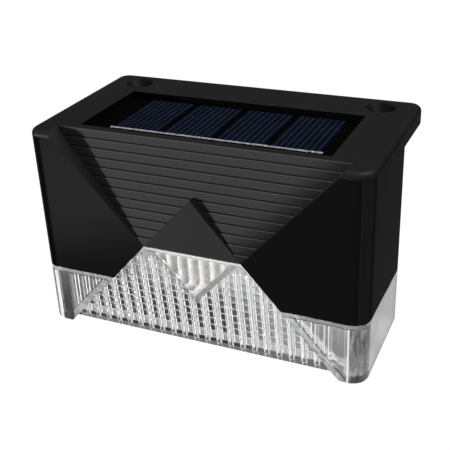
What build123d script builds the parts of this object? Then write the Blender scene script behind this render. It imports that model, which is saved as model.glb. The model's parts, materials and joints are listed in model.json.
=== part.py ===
"""Solar wall light: a black moulded housing over a ribbed clear lens, with a solar panel on top.

Millimetres. +X is the viewer's right, +Y runs back towards the wall, +Z is up. The origin is the midpoint
between the two flange screw holes, on the underside of the flange.
"""
import os
from math import hypot

from build123d import *

# Overall form
WIDTH = 120.0            # across the front
HEIGHT = 75.0            # top of the flange to the front of the lens's bottom
TOP_DEPTH = 66.5         # front plane to the rear edge of the flange
BODY_DEPTH = 39.5        # front plane to the wall plane
BOTTOM_RISE = 1.6        # how much higher the bottom lies at the wall than at the front
FLANGE_T = 6.2           # thickness of the flange at its edge
FRONT_CORNER_R = 5.5     # upright corners of the front, in plan
REAR_CORNER_R = 4.5      # corners of the flange, in plan
TOP_EDGE_R = 2.0         # rounding round the top
BOTTOM_EDGE_R = 1.2      # rounding round the bottom of the lens
WALL = 2.4               # walls of the housing and the lens

# Faceted front
WAIST_DROP = 37.0        # top to the waist line, where both ramps meet the front plane
JOINT_DROP = 52.0        # top to the joint of housing and lens on the facets and the sides
MOUTH_INSET = 8.0        # side of the light to the wide end of each ramp
WAIST_HALF_W = 17.8      # half width of the ramps, and of the diamond, at the waist
UPPER_SETBACK = 7.5      # how far the slatted ramp leans back at the top
LOWER_SETBACK = 4.7      # how far the lens ramp leans back at the bottom
SLAT_COUNT = 12
SLAT_LEDGE = 0.28        # depth of the ledge on which each slat ends
DIAMOND_HALF_H = 19.3
DIAMOND_LEAN = 1.15      # set-back of the diamond's two points from its waist
JOINT_GAP = 0.12         # between the housing and the lens

# Lens optics
RIB_PITCH = 4.48
RIB_W = 2.1
RIB_TOP_W = 0.9
RIB_H = 0.8
RIB_START = 4.0          # waist to the upper ends of the ribs
FOOT_RIB_H = 1.2         # ribs inside the two feet
SILL_H = 2.0             # plain strip under the ribs
PILLOW_PITCH = 2.88      # rounded rows on the back of the ramp
PILLOW_DEPTH = 0.35
FIELD_BORDER = 2.1       # plain border round the fluted field of the half diamond
FIELD_BAND = 1.2         # plain band between the waist and the field
FIELD_DEPTH = 1.1
FLUTE_PITCH = 4.0
FLUTE_H = 0.9
FLUTE_SIDE_COUNT = 3     # flutes on each side of the middle one
FLUTE_BEND = 11.3        # waist to the bend of the flutes
CORNER_POST = 1.4        # solid inner corners behind the front corners
TONGUE_H = 3.0           # lens tongue that stands up inside the housing
TONGUE_T = 1.2
TONGUE_GAP = 0.15

# Flange
HOLE_INSET = 12.75       # screw holes to the sides
HOLE_EDGE = 9.5          # screw holes to the rear edge
HOLE_R = 2.1
COUNTERSINK_R = 5.2
HOLE_BOSS_R = 7.5
FLANGE_SKIN = 2.4
FLANGE_RIB_T = 2.0
FLANGE_CELLS = 4

# Solar panel
WINDOW_INSET = 15.4      # window to the sides
WINDOW_DEPTH = 37.0
WINDOW_SETBACK = 10.4    # front plane to the window
RECESS = 1.6             # top of the housing to the panel
PANEL_GAP = 0.15
RESIN_COVER = 0.7        # resin over the cells
RESIN_FIT = 0.02         # resin to what it covers
RIBBON_T = 0.12
CELL_T = 0.3
CELL_GAP = 2.3
CELL_COUNT = 4
CELL_LEFT = 8.8          # left side of the window to the first cell
CELL_RIGHT = 6.1         # last cell to the right side of the window
CELL_SETBACK = 6.0       # front edge of the window to the cells
CELL_REAR = 0.6          # cells to the rear edge of the window
RIBBON_W = 1.2
RIBBON_OVERHANG = 1.0
PANEL_BOARD_T = 1.6
TAPE_T = 0.6
TAPE_W = 6.0
POCKET_FLOOR = 2.4

# Back cover, its seal and screws
COVER_T = 2.2
SEAL_T = 0.8
LEDGE_W = 1.2            # step that the seal lies on
LEDGE_T = 2.5
COVER_GAP = 0.2
COVER_BOSS_R = 3.25
COVER_BOSS_INSET = 7.0   # boss centre to the side of the light
UPPER_BOSS_DROP = 12.2   # top to the upper pair
LOWER_BOSS_DROP = 44.2   # top to the lower pair
BOSS_ROOM = 0.75         # cover bosses to the pieces beside them
SCREW_R = 1.2
SCREW_HEAD_R = 2.4
SCREW_HEAD_H = 1.4
SCREW_L = 11.0
SCREW_GAP = 0.1
DRIVE_R = 1.0
DRIVE_DEPTH = 0.7

# Push button and its switch
BUTTON_INSET = 18.0      # left edge of the driver board to the button
BUTTON_DROP = 21.2       # top to the button
BUTTON_R = 3.6
BUTTON_RECESS = 0.6      # wall plane to the face of the button
BUTTON_GAP = 0.4
BUTTON_EDGE = 0.3
BUTTON_TRAVEL = 1.0
COLLAR_R = 4.6           # collar that keeps the button in the cover
COLLAR_T = 2.2
COLLAR_PLAY = 0.5        # cover to collar
RING_FIT = 0.05          # play of the flat sealing ring on the collar
GUIDE_GAP = 0.35         # collar to the guide moulded on the cover
GUIDE_T = 1.6
STEM_R = 2.6
STEM_L = 1.6
PLUNGER_R = 1.7
PLUNGER_GAP = 0.3
SWITCH_W = 6.0
SWITCH_H = 3.5
SWITCH_FLOOR = 0.5

# Driver board and what it carries
BOARD_T = 1.6
BOARD_H = 23.5
BOARD_TO_BATTERY = 10.2
BOARD_DROP = 9.7         # top to the upper edge of the board
POST_R = 2.6
POST_INSET = 4.0
SMALL_SCREW_R = 0.95
SMALL_HEAD_R = 1.9
SMALL_HEAD_H = 1.3
SMALL_SCREW_L = 6.0
CHIP_AT = (10.0, 17.0)   # right and down from the board's upper left corner
COIL_AT = (10.0, 7.0)
CAP_INSET = 4.5          # capacitor to the board's upper and right edges
CHIP_W = 5.0
CHIP_D = 4.0
CHIP_T = 1.5
CHIP_LEGS = 4
LEG_PITCH = 1.27
LEG_W = 0.4
LEG_T = 0.25
LEG_L = 1.0
COIL_R = 3.2
COIL_H = 4.6
COIL_FOOT = 0.9          # square foot under the coil
CAP_R = 2.5
CAP_H = 6.0

# Battery
BATTERY_R = 7.1
BATTERY_L = 48.6
BATTERY_ROOM = 1.95      # cover bosses to the battery's end
BATTERY_DROP = 20.2      # top to the battery axis
BATTERY_LIFT = 1.0       # cover to the battery
BATTERY_NUB_R = 2.7
BATTERY_NUB_H = 1.0
SADDLE_T = 2.0
SADDLE_HALF_H = 9.0
SADDLE_INSET = 8.0
SADDLE_GAP = 0.15
PAD_L = 24.0
PAD_W = 7.0
PAD_GAP = 0.05
TAB_T = 0.2
TAB_W = 5.0
TAB_L = 16.0

# Lamp: reflector tray, lamp board and its lamps
TRAY_T = 1.5
TRAY_GAP = 2.1           # side walls to the tray
TRAY_SHOULDER_DROP = 49.4
TRAY_DROP = 38.7         # top to the upper face of the tray
TRAY_FRONT = 8.5         # front plane to the front edge of the tray roof
TRAY_REAR = 33.0         # front plane to the rear of the tray roof
TRAY_TOE = 12.0          # front plane to the lower edge of the tray
TRAY_BULGE = 29.0        # front plane to the middle of the curved back
TRAY_BULGE_DROP = 59.0
TRAY_FLOOR_GAP = 0.3
LAMP_BOARD_GAP = 1.5     # ends of the lamp board to the tray
LAMP_BOARD_D = 10.0
LAMP_BOARD_T = 1.2
LAMP_AXIS = 14.0         # front plane to the lamp line
LAMP_COUNT = 4
LAMP_W = 3.5
LAMP_D = 2.8
LAMP_T = 0.9
LAMP_WINDOW = 2.2        # raised phosphor window of each lamp
LAMP_RAISE = 0.3
TRAY_BOSS_R = 3.0
TRAY_BOSS_INSET = 6.0    # ends of the lamp board to the tray's bosses

# Insulated leads, in pairs
LEAD_R = 0.6
LEAD_PITCH = 3.0
LEAD_BEND_R = 3.0
LEAD_SIDES = 6
PANEL_LEAD_IN = 8.5      # inner edge of the panel's tape to its leads
PANEL_LEAD_AHEAD = 8.0   # driver board to the upright run of the panel's leads
PANEL_LEAD_DROP = 12.0   # upper edge of the driver board to the ends of each pair
LAMP_LEAD_X = -26.0
LAMP_LEAD_DROP = 21.5
BATTERY_LEAD_INSET = 9.0
BATTERY_LEAD_OUT = 4.0
BATTERY_LEAD_DIP = 9.0   # battery axis down to the long lead

# Places worked out from the sizes above
Z_TOP = FLANGE_T
Z_BOTTOM = Z_TOP - HEIGHT
Z_WAIST = Z_TOP - WAIST_DROP
Z_SPLIT = Z_TOP - JOINT_DROP
Y_REAR = HOLE_EDGE
Y_FRONT = Y_REAR - TOP_DEPTH
Y_WALL = Y_FRONT + BODY_DEPTH
HALF_W = WIDTH / 2
MOUTH_HALF_W = HALF_W - MOUTH_INSET
HOLE_PITCH = WIDTH - 2 * HOLE_INSET
CUT = 2.0                # overshoot of cutting solids
HIDDEN_SIDES = 8         # bosses, posts and pilot holes that the closed housing hides
HEX_SIDES = 6            # screw heads and sockets

Z_PANEL = Z_TOP - RECESS
Z_CELL_TOP = Z_PANEL - RESIN_COVER
Z_BOARD_TOP = Z_CELL_TOP - CELL_T
Z_TAPE_TOP = Z_BOARD_TOP - PANEL_BOARD_T
Z_POCKET = Z_TAPE_TOP - TAPE_T
Z_CEILING = Z_POCKET - POCKET_FLOOR
WINDOW_W = WIDTH - 2 * WINDOW_INSET
CELL_W = (WINDOW_W - CELL_LEFT - CELL_RIGHT - (CELL_COUNT - 1) * CELL_GAP) / CELL_COUNT
CELL_DEPTH = WINDOW_DEPTH - CELL_SETBACK - CELL_REAR
Y_WINDOW_FRONT = Y_FRONT + WINDOW_SETBACK
Y_WINDOW_MID = Y_WINDOW_FRONT + WINDOW_DEPTH / 2
Y_WINDOW_REAR = Y_WINDOW_FRONT + WINDOW_DEPTH

RIM = WALL - LEDGE_W     # thin rim round the back cover
Y_COVER_IN = Y_WALL - COVER_T
Y_LEDGE = Y_COVER_IN - SEAL_T
Z_COVER_LOW = Z_BOTTOM + BOTTOM_RISE + RIM
BOSS_SIDE = HALF_W - COVER_BOSS_INSET - COVER_BOSS_R

Y_BUTTON_FACE = Y_WALL - BUTTON_RECESS
Y_COLLAR = Y_COVER_IN - COLLAR_PLAY
Y_STEM = Y_COLLAR - COLLAR_T
Y_PLUNGER = Y_STEM - STEM_L
Y_SWITCH = Y_PLUNGER - BUTTON_TRAVEL - COLLAR_PLAY
Y_BOARD_REAR = Y_SWITCH - SWITCH_H
Y_BOARD_FRONT = Y_BOARD_REAR - BOARD_T
Z_BUTTON = Z_TOP - BUTTON_DROP
GUIDE_R = COLLAR_R + GUIDE_GAP
PLUNGER_DEPTH = SWITCH_H - SWITCH_FLOOR
PLUNGER_END = Y_SWITCH - PLUNGER_DEPTH + BUTTON_TRAVEL + COLLAR_PLAY

BATTERY_RIGHT = BOSS_SIDE - BATTERY_ROOM
BATTERY_LEFT = BATTERY_RIGHT - BATTERY_L
BOARD_LEFT = BOSS_ROOM - BOSS_SIDE
BOARD_RIGHT = BATTERY_LEFT - BOARD_TO_BATTERY
BUTTON_X = BOARD_LEFT + BUTTON_INSET
BATTERY_LEAD_X = BOARD_RIGHT - BATTERY_LEAD_INSET
Z_BOARD_UP = Z_TOP - BOARD_DROP
Z_BOARD_LOW = Z_BOARD_UP - BOARD_H
POSTS = [
    (BOARD_LEFT + POST_INSET, Z_BOARD_UP - POST_INSET),
    (BOARD_RIGHT - POST_INSET, Z_BOARD_LOW + POST_INSET),
]
COVER_BOSSES = [
    (side * (HALF_W - COVER_BOSS_INSET), Z_TOP - drop)
    for drop in (UPPER_BOSS_DROP, LOWER_BOSS_DROP)
    for side in (-1, 1)
]

Z_BATTERY = Z_TOP - BATTERY_DROP
Y_BATTERY = Y_COVER_IN - BATTERY_LIFT - BATTERY_R

TRAY_HALF_W = HALF_W - WALL - TRAY_GAP
TRAY_NECK_HALF_W = BOSS_SIDE - BOSS_ROOM
LAMP_BOARD_W = 2 * (TRAY_NECK_HALF_W - TRAY_T - LAMP_BOARD_GAP)
TRAY_BOSS_X = LAMP_BOARD_W / 2 - TRAY_BOSS_INSET
LAMP_PITCH = 2 * TRAY_BOSS_X / LAMP_COUNT
Z_TRAY = Z_TOP - TRAY_DROP
Z_LAMP_BOARD = Z_TRAY - TRAY_T
Z_LAMP = Z_LAMP_BOARD - LAMP_BOARD_T
Y_LAMP = Y_FRONT + LAMP_AXIS
Y_PANEL_LEAD = Y_BOARD_FRONT - PANEL_LEAD_AHEAD
PANEL_LEAD_X = PANEL_LEAD_IN + TAPE_W + PANEL_GAP - WINDOW_W / 2


# Plain shapes used all over

def plan_prism(sketch, z_low, z_high):
    """A sketch drawn in plan, standing between two heights."""
    return extrude(Plane.XY.offset(z_low) * sketch, z_high - z_low, dir=(0, 0, 1))


def front_prism(points, y_near, y_far):
    """An outline drawn in the front view (x, z), running from y_near back to y_far."""
    outline = make_face(Plane.XZ.offset(-y_far) * Polyline(*points, close=True))
    return extrude(outline, y_far - y_near, dir=(0, -1, 0))


def side_prism(outline, x_left, x_right):
    """An outline drawn in the side view (y, z), running across from x_left to x_right."""
    return extrude(Plane.YZ.offset(x_left) * outline, x_right - x_left, dir=(1, 0, 0))


def block(x_range, y_range, z_range):
    """A box given by its three ranges."""
    low = (x_range[0], y_range[0], z_range[0])
    size = (x_range[1] - x_range[0], y_range[1] - y_range[0], z_range[1] - z_range[0])
    return Pos(*low) * Box(*size, align=(Align.MIN, Align.MIN, Align.MIN))


def rod_y(x, z, y_near, y_far, radius):
    """A round rod that runs front to back."""
    return Pos(x, y_far, z) * extrude(Plane.XZ * Circle(radius), y_far - y_near)


def rod_z(x, y, z_low, z_high, radius):
    """An upright round rod."""
    return Pos(x, y, z_low) * extrude(Circle(radius), z_high - z_low)


def bar_y(x, z, y_near, y_far, radius, sides=HIDDEN_SIDES):
    """A many-sided bar that runs front to back; the radius reaches to its flats."""
    section = RegularPolygon(radius, sides, major_radius=False)
    return Pos(x, y_far, z) * extrude(Plane.XZ * section, y_far - y_near)


def bar_z(x, y, z_low, z_high, radius, sides=HIDDEN_SIDES):
    """An upright many-sided bar; the radius reaches to its flats."""
    section = RegularPolygon(radius, sides, major_radius=False)
    return Pos(x, y, z_low) * extrude(section, z_high - z_low)


def rod_between(start, end, radius):
    """A round rod from one point to another."""
    along = Vector(*end) - Vector(*start)
    return extrude(Plane(origin=start, z_dir=along) * Circle(radius), along.length)


def turned_y(x, z, profile):
    """A solid of revolution about a front-to-back axis; the profile is a list of (radius, y)."""
    outline = make_face(Plane.XY * Polyline(*profile, close=True))
    return Pos(x, 0, z) * revolve(outline, Axis.Y)


def turned_z(x, y, profile):
    """A solid of revolution about an upright axis; the profile is a list of (radius, z)."""
    outline = make_face(Plane.XZ * Polyline(*profile, close=True))
    return Pos(x, y, 0) * revolve(outline, Axis.Z)


def joined(solids):
    """All solids of a list in one."""
    first, *rest = solids
    return first.fuse(*rest) if rest else first


# Outer form, before it is split into housing and lens

def rounded_plan(depth, front_r, rear_r):
    """A plan outline that starts at the front plane."""
    outline = Pos(0, Y_FRONT + depth / 2) * Rectangle(WIDTH, depth)
    outline = fillet(outline.vertices().sort_by(Axis.Y)[:2], front_r)
    if rear_r:
        outline = fillet(outline.vertices().sort_by(Axis.Y)[-2:], rear_r)
    return outline


def bottom_z(y):
    """Height of the lens's bottom, which rises towards the wall."""
    return Z_BOTTOM + BOTTOM_RISE * (y - Y_FRONT) / BODY_DEPTH


def envelope():
    """The L-shaped outer block with its rounded corners."""
    body = plan_prism(rounded_plan(BODY_DEPTH, FRONT_CORNER_R, 0), Z_BOTTOM - CUT, Z_TOP)
    near, far, under = Y_FRONT - CUT, Y_WALL + CUT, Z_BOTTOM - 2 * CUT
    below = [(near, under), (far, under), (far, bottom_z(far)), (near, bottom_z(near))]
    body -= side_prism(side_outline(below), -HALF_W, HALF_W)
    low_edges = body.faces().sort_by(Axis.Z)[0].edges()
    rear_edge = low_edges.sort_by(Axis.Y)[-1]
    body = fillet([edge for edge in low_edges if edge != rear_edge], BOTTOM_EDGE_R)
    flange = plan_prism(rounded_plan(TOP_DEPTH, FRONT_CORNER_R, REAR_CORNER_R), 0, Z_TOP)
    whole = body + flange
    return fillet(whole.faces().sort_by(Axis.Z)[-1].edges(), TOP_EDGE_R)


def mouth_points(z_wide, grow=0.0):
    """The trapezoid of one ramp in the front view, from the waist to its wide end."""
    reach = abs(z_wide - Z_WAIST)
    slope = (MOUTH_HALF_W - WAIST_HALF_W) / reach
    past = z_wide + CUT * (1 if z_wide > Z_WAIST else -1)
    wide = WAIST_HALF_W + slope * abs(past - Z_WAIST) + grow
    narrow = WAIST_HALF_W + grow
    return [(-narrow, Z_WAIST), (-wide, past), (wide, past), (narrow, Z_WAIST)]


def upper_ramp_y(z):
    """Depth of the slatted ramp's mean plane."""
    return Y_FRONT + UPPER_SETBACK * (z - Z_WAIST) / (Z_TOP - Z_WAIST)


def lower_ramp_y(z):
    """Depth of the lens ramp's plane."""
    return Y_FRONT + LOWER_SETBACK * (Z_WAIST - z) / (Z_WAIST - Z_BOTTOM)


def slat_line():
    """The stepped line of the slats in the side view, from the waist up."""
    pitch = (Z_TOP - Z_WAIST) / SLAT_COUNT
    line = []
    for index in range(SLAT_COUNT):
        low = Z_WAIST + index * pitch
        high = low + pitch
        line.append((upper_ramp_y(low), low))
        line.append((upper_ramp_y(high) - SLAT_LEDGE, high))
    line.append((upper_ramp_y(Z_TOP), Z_TOP))
    line.append((upper_ramp_y(Z_TOP + CUT), Z_TOP + CUT))
    return line


def pillow_outline():
    """The lens ramp's stock in the side view, with the rounded rows on its back."""
    rows = int((Z_WAIST - Z_BOTTOM - WALL) / PILLOW_PITCH)
    heights = [Z_WAIST - index * PILLOW_PITCH for index in range(rows + 1)]
    pillows = []
    for high, low in zip(heights, heights[1:]):
        middle = (high + low) / 2
        upper = (lower_ramp_y(high) + WALL, high)
        crest = (lower_ramp_y(middle) + WALL + PILLOW_DEPTH, middle)
        lower = (lower_ramp_y(low) + WALL, low)
        pillows.append(ThreePointArc(upper, crest, lower))
    below = Z_BOTTOM - CUT
    rest = Polyline((lower_ramp_y(heights[-1]) + WALL, heights[-1]), (lower_ramp_y(below) + WALL, below),
                    (Y_FRONT, below), (Y_FRONT, Z_WAIST), (lower_ramp_y(Z_WAIST) + WALL, Z_WAIST))
    return make_face(rest + pillows)


def side_outline(points):
    """A closed side-view outline (y, z)."""
    return make_face(Polyline(*points, close=True))


def ramp_cuts():
    """The two hollows that the ramps leave in the front."""
    before = Y_FRONT - CUT
    upper = [(before, Z_WAIST)] + slat_line() + [(before, Z_TOP + CUT)]
    low = Z_BOTTOM - CUT
    lower = [(before, Z_WAIST), (lower_ramp_y(Z_WAIST), Z_WAIST), (lower_ramp_y(low), low), (before, low)]
    cuts = []
    for outline, z_wide in ((upper, Z_TOP), (lower, Z_BOTTOM)):
        wedge = side_prism(side_outline(outline), -HALF_W, HALF_W)
        cuts.append(wedge & front_prism(mouth_points(z_wide), before, Y_WALL))
    return cuts


def ramp_backs():
    """The stock behind the two ramps, with the walls that close their slanting sides."""
    high = Z_TOP + CUT
    upper = [(Y_FRONT, Z_WAIST), (upper_ramp_y(Z_WAIST) + WALL, Z_WAIST),
             (upper_ramp_y(high) + WALL, high), (Y_FRONT, high)]
    backs = []
    for outline, z_wide in ((side_outline(upper), Z_TOP), (pillow_outline(), Z_BOTTOM)):
        wedge = side_prism(outline, -HALF_W, HALF_W)
        backs.append(wedge & front_prism(mouth_points(z_wide, WALL), Y_FRONT, Y_WALL))
    return backs


def diamond(z_point, thicker=0.0):
    """One half of the diamond on the front, from the waist to its upper or lower point."""
    y_back = Y_FRONT + UPPER_SETBACK
    outline = [(-WAIST_HALF_W, Z_WAIST), (0, z_point), (WAIST_HALF_W, Z_WAIST)]
    lean = [(Y_FRONT, Z_WAIST), (Y_FRONT + DIAMOND_LEAN, z_point), (y_back, z_point), (y_back, Z_WAIST)]
    half = front_prism(outline, Y_FRONT - CUT, y_back)
    half &= side_prism(side_outline(lean), -WAIST_HALF_W, WAIST_HALF_W)
    ramp = upper_ramp_y if z_point > Z_WAIST else lower_ramp_y
    wall = WALL + thicker
    behind = [(ramp(Z_WAIST) + wall, Z_WAIST), (ramp(z_point) + wall, z_point),
              (y_back + CUT, z_point), (y_back + CUT, Z_WAIST)]
    return half - side_prism(side_outline(behind), -WAIST_HALF_W, WAIST_HALF_W)


def room_part(half_w, y_near, y_far, z_high):
    """A stretch of the inner room, whose floor keeps the wall's thickness over the rising bottom."""
    outline = [(y_near, bottom_z(y_near) + WALL), (y_far, bottom_z(y_far) + WALL),
               (y_far, z_high), (y_near, z_high)]
    return side_prism(side_outline(outline), -half_w, half_w)


def shell():
    """The hollow body as one piece, with both ramps, open at the back."""
    inner_half = HALF_W - WALL
    room = room_part(inner_half, Y_FRONT + WALL, Y_LEDGE - LEDGE_T, Z_CEILING)
    room += room_part(inner_half, Y_LEDGE - LEDGE_T, Y_LEDGE, Z_CEILING - LEDGE_W)
    rim_half = HALF_W - RIM
    room += block((-rim_half, rim_half), (Y_LEDGE, Y_WALL + CUT), (Z_COVER_LOW, Z_CEILING))
    for back in ramp_backs():
        room -= back
    body = envelope() - room
    for cut in ramp_cuts():
        body -= cut
    return body


def joint_region(drop):
    """Everything below the joint between the housing and the lens, lowered by drop."""
    slope = (MOUTH_HALF_W - WAIST_HALF_W) / (Z_WAIST - Z_BOTTOM)
    knee = WAIST_HALF_W + slope * (Z_WAIST - Z_SPLIT)
    wide = HALF_W + CUT
    points = [(-wide, Z_SPLIT), (-knee, Z_SPLIT), (-WAIST_HALF_W, Z_WAIST), (WAIST_HALF_W, Z_WAIST),
              (knee, Z_SPLIT), (wide, Z_SPLIT), (wide, Z_BOTTOM - CUT), (-wide, Z_BOTTOM - CUT)]
    return Pos(0, 0, -drop) * front_prism(points, Y_FRONT - CUT, Y_WALL + CUT)


# Housing

def flange_pockets():
    """Cored cells on the underside of the flange, clear of the screw bosses."""
    left = -HALF_W + WALL
    cell = (WIDTH - 2 * WALL - (FLANGE_CELLS - 1) * FLANGE_RIB_T) / FLANGE_CELLS
    y_range = (Y_WINDOW_REAR + WALL, Y_REAR - WALL)
    pockets = []
    for index in range(FLANGE_CELLS):
        start = left + index * (cell + FLANGE_RIB_T)
        pockets.append(block((start, start + cell), y_range, (-CUT, Z_TOP - FLANGE_SKIN)))
    cells = joined(pockets)
    for side in (-1, 1):
        cells -= rod_z(side * HOLE_PITCH / 2, 0, -CUT, Z_TOP, HOLE_BOSS_R)
    return cells


def screw_hole(x):
    """A countersunk hole through the flange."""
    cone = COUNTERSINK_R - HOLE_R
    profile = [(0, -CUT), (HOLE_R, -CUT), (HOLE_R, Z_TOP - cone),
               (COUNTERSINK_R + CUT, Z_TOP + CUT), (0, Z_TOP + CUT)]
    return turned_z(x, 0, profile)


def make_housing(body):
    """The black shell above the joint, with the panel's pocket and the screw bosses."""
    housing = body - joint_region(0) + diamond(Z_WAIST + DIAMOND_HALF_H)
    housing -= flange_pockets()
    for side in (-1, 1):
        housing -= screw_hole(side * HOLE_PITCH / 2)
    window = Pos(0, Y_WINDOW_MID) * Rectangle(WINDOW_W, WINDOW_DEPTH)
    housing -= plan_prism(window, Z_POCKET, Z_TOP + CUT)
    bosses = []
    holes = []
    for x, z in COVER_BOSSES:
        bosses.append(bar_y(x, z, Y_FRONT + WALL / 2, Y_COVER_IN, COVER_BOSS_R))
        holes.append(bar_y(x, z, Y_COVER_IN - SCREW_L, Y_COVER_IN + CUT, SCREW_R + SCREW_GAP))
    for side in (-1, 1):
        x = side * TRAY_BOSS_X
        bosses.append(bar_z(x, Y_LAMP, Z_TRAY, Z_CEILING + WALL / 2, TRAY_BOSS_R))
        holes.append(bar_z(x, Y_LAMP, Z_TRAY - CUT, Z_TRAY + SMALL_SCREW_L, SMALL_SCREW_R + SCREW_GAP))
    housing = housing.fuse(*bosses)
    for hole in holes:
        housing -= hole
    for x in lead_places(PANEL_LEAD_X):
        housing -= bar_z(x, Y_PANEL_LEAD, Z_CEILING - CUT, Z_POCKET + CUT, LEAD_R + SCREW_GAP, LEAD_SIDES)
    return housing


# Lens

def rib_places(half_w):
    """Places across of all ribs within this half width; none stands in the middle."""
    pairs = int(half_w / RIB_PITCH)
    return [(index + 0.5) * RIB_PITCH for index in range(-pairs, pairs)]


def ramp_ribs():
    """Upright ribs on the face of the lens ramp, kept off the waist, the half diamond and the sill."""
    run = hypot(LOWER_SETBACK, Z_WAIST - Z_BOTTOM)
    down = (0, LOWER_SETBACK / run, (Z_BOTTOM - Z_WAIST) / run)
    section = Polygon((-RIB_W / 2, -RIB_H), (RIB_W / 2, -RIB_H), (RIB_W / 2, 0), (RIB_TOP_W / 2, RIB_H),
                      (-RIB_TOP_W / 2, RIB_H), (-RIB_W / 2, 0), align=None)
    region = front_prism(mouth_points(Z_BOTTOM), Y_FRONT, Y_WALL)
    region &= block((-HALF_W, HALF_W), (Y_FRONT, Y_WALL), (Z_BOTTOM + SILL_H, Z_WAIST - RIB_START))
    half_diamond = [(-WAIST_HALF_W, Z_WAIST), (0, Z_WAIST - DIAMOND_HALF_H), (WAIST_HALF_W, Z_WAIST)]
    region -= front_prism(half_diamond, Y_FRONT - CUT, Y_WALL + CUT)
    ribs = []
    for x in rib_places(MOUTH_HALF_W):
        start = Plane(origin=(x, Y_FRONT, Z_WAIST), x_dir=(1, 0, 0), z_dir=down)
        ribs.append(extrude(start * section, run) & region)
    return ribs


def foot_ribs():
    """Upright ribs behind the two feet of the lens."""
    y_in = Y_FRONT + WALL
    ribs = []
    for x in rib_places(HALF_W - FRONT_CORNER_R):
        if abs(x) > foot_start():
            rib = block((x - RIB_W / 2, x + RIB_W / 2), (y_in - WALL / 2, y_in + FOOT_RIB_H),
                        (bottom_z(y_in) + WALL / 2, Z_SPLIT - JOINT_GAP))
            ribs.append(rib - front_prism(mouth_points(Z_BOTTOM), Y_FRONT, Y_WALL))
    return ribs


def foot_start():
    """Where the foot's flat face begins, at the joint."""
    slope = (MOUTH_HALF_W - WAIST_HALF_W) / (Z_WAIST - Z_BOTTOM)
    return WAIST_HALF_W + slope * (Z_WAIST - Z_SPLIT) + WALL + RIB_W


def corner_posts():
    """Solid inner corners behind the rounded front corners of the lens."""
    inner = HALF_W - WALL
    y_in = Y_FRONT + WALL
    y_range = (y_in - TONGUE_GAP, y_in + CORNER_POST)
    z_range = (bottom_z(y_in) + WALL / 2, Z_SPLIT - JOINT_GAP)
    posts = []
    for side in (-1, 1):
        x_range = sorted((side * (inner - CORNER_POST), side * (inner + TONGUE_GAP)))
        posts.append(block(x_range, y_range, z_range))
    return posts


def field_place(x, drop, depth):
    """A place on the half diamond: across, below the waist and behind its leaning face."""
    return x, Y_FRONT + DIAMOND_LEAN * drop / DIAMOND_HALF_H + depth, Z_WAIST - drop


def flutes():
    """Round flutes that run down the field; below the bend they run on along its right edge."""
    radius = ((FLUTE_PITCH / 2) ** 2 + FLUTE_H ** 2) / (2 * FLUTE_H)
    sunk = FIELD_DEPTH - FLUTE_H + radius
    rods = []
    for index in range(-FLUTE_SIDE_COUNT, FLUTE_SIDE_COUNT + 1):
        x = index * FLUTE_PITCH
        bend = field_place(x, FLUTE_BEND, sunk)
        end = field_place(x - WAIST_HALF_W, FLUTE_BEND + DIAMOND_HALF_H, sunk)
        rods += [rod_between(field_place(x, 0, sunk), bend, radius), Pos(*bend) * Sphere(radius),
                 rod_between(bend, end, radius)]
    return rods


def diamond_field():
    """The hollow in the face of the clear half diamond, less the flutes that stand in it."""
    edge = hypot(WAIST_HALF_W, DIAMOND_HALF_H)
    half = WAIST_HALF_W * (1 - FIELD_BAND / DIAMOND_HALF_H) - FIELD_BORDER * edge / DIAMOND_HALF_H
    tip = DIAMOND_HALF_H - FIELD_BORDER * edge / WAIST_HALF_W
    outline = [(-half, Z_WAIST - FIELD_BAND), (half, Z_WAIST - FIELD_BAND), (0, Z_WAIST - tip)]
    near = Y_FRONT - CUT
    floor = [field_place(0, drop, FIELD_DEPTH)[1:] for drop in (0, DIAMOND_HALF_H)]
    slab = side_outline([(near, Z_WAIST), *floor, (near, Z_WAIST - DIAMOND_HALF_H)])
    hollow = front_prism(outline, near, Y_WALL) & side_prism(slab, -WAIST_HALF_W, WAIST_HALF_W)
    return hollow.cut(*flutes())


def lens_tongues():
    """Walls that stand up from the lens inside the housing, along the feet and the sides."""
    outer = HALF_W - WALL - TONGUE_GAP
    inner = outer - TONGUE_T
    y_near = Y_FRONT + WALL + TONGUE_GAP
    y_far = Y_LEDGE - LEDGE_T - TONGUE_GAP
    z_range = (Z_SPLIT - TONGUE_H, Z_SPLIT + TONGUE_H)
    corner = FRONT_CORNER_R
    tongues = []
    for side in (-1, 1):
        tongues.append(block(sorted((side * inner, side * outer)), (y_near + corner, y_far), z_range))
        tongues.append(block(sorted((side * (foot_start() + WALL), side * (outer - corner))),
                             (y_near, y_near + TONGUE_T), z_range))
    return tongues


def make_lens(body):
    """The clear shell below the joint, with its ribs, half diamond and tongues."""
    lens = body & joint_region(JOINT_GAP)
    half = Pos(0, 0, -JOINT_GAP) * diamond(Z_WAIST - DIAMOND_HALF_H, PILLOW_DEPTH)
    lens = lens.fuse(half, *ramp_ribs(), *foot_ribs(), *corner_posts())
    lens -= Pos(0, 0, -JOINT_GAP) * diamond_field()
    return lens.fuse(*lens_tongues(), *tongue_feet())


def tongue_feet():
    """Short shelves that carry the tongues off the lens walls, below the joint."""
    outer = HALF_W - WALL
    inner = outer - TONGUE_GAP - TONGUE_T
    y_near = Y_FRONT + WALL
    y_far = Y_LEDGE - LEDGE_T - TONGUE_GAP
    corner = FRONT_CORNER_R
    z_range = (Z_SPLIT - TONGUE_H, Z_SPLIT - JOINT_GAP)
    feet = []
    for side in (-1, 1):
        feet.append(block(sorted((side * inner, side * (outer + TONGUE_GAP))),
                          (y_near + corner + TONGUE_GAP, y_far), z_range))
        feet.append(block(sorted((side * (foot_start() + WALL), side * (outer - TONGUE_GAP - corner))),
                          (y_near - TONGUE_GAP, y_near + TONGUE_GAP + TONGUE_T), z_range))
    return feet


# Solar panel

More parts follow.
